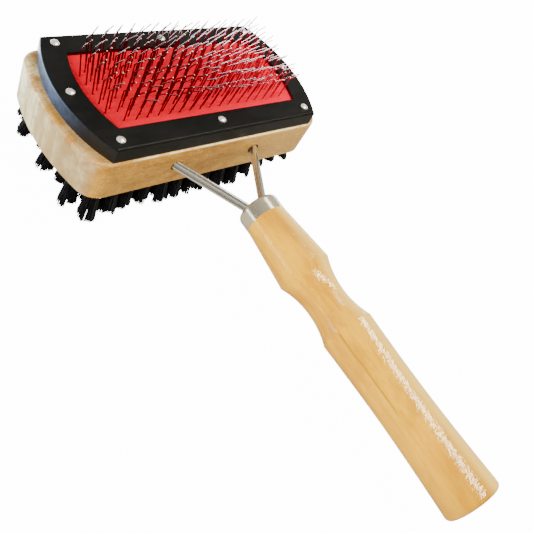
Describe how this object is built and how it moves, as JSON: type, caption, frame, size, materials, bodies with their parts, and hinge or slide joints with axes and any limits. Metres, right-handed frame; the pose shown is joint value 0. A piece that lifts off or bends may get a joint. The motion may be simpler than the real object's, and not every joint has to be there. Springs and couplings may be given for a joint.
{
  "type": "slicker brush",
  "caption": "Double-sided pet brush: bent wire pins in a cushioned pad on one side of a wooden head, bristle tufts on the other, wire prongs and a turned wooden handle.",
  "frame": {"origin": "centre of the flat butt face of the handle", "axes": "+Y runs along the handle's axis to the head, +X along the head, +Z out of the pin side"},
  "size_m": [0.136, 0.2427, 0.0614],
  "materials": {
    "head_wood": "clear lacquer",
    "handle_wood": "gloss clear lacquer",
    "frame_plastic": "satin",
    "pad_rubber": "matte",
    "backing_cloth": "woven",
    "underlay_foam": "open cell foam",
    "pin_wire": "drawn wire",
    "nickel": "nickel plated",
    "bristle": "black nylon fibre",
    "anchor_wire": "drawn",
    "prong_wire": "nickel plated wire"
  },
  "bodies": {
    "brush": {"head_block": "head_wood", "retaining_frame": "frame_plastic", "foam_underlay": "underlay_foam", "frame_nails": "nickel", "bristle_tufts": "bristle", "tuft_anchors": "anchor_wire", "left_prong": "prong_wire", "right_prong": "prong_wire", "ferrule": "nickel", "handle": "handle_wood"},
    "pin_field": {"pin_pad": "pad_rubber", "pin_backing": "backing_cloth", "slicker_pins": "pin_wire"}
  },
  "joints": [
    {"name": "pad_give", "type": "slide", "parent": "brush", "child": "pin_field", "axis": [0, 0, 1], "range_m": [-0.0015, 0], "stiffness_N_per_m": 2500, "springref_m": 0.0004, "deforming": ["foam_underlay"]}
  ]
}
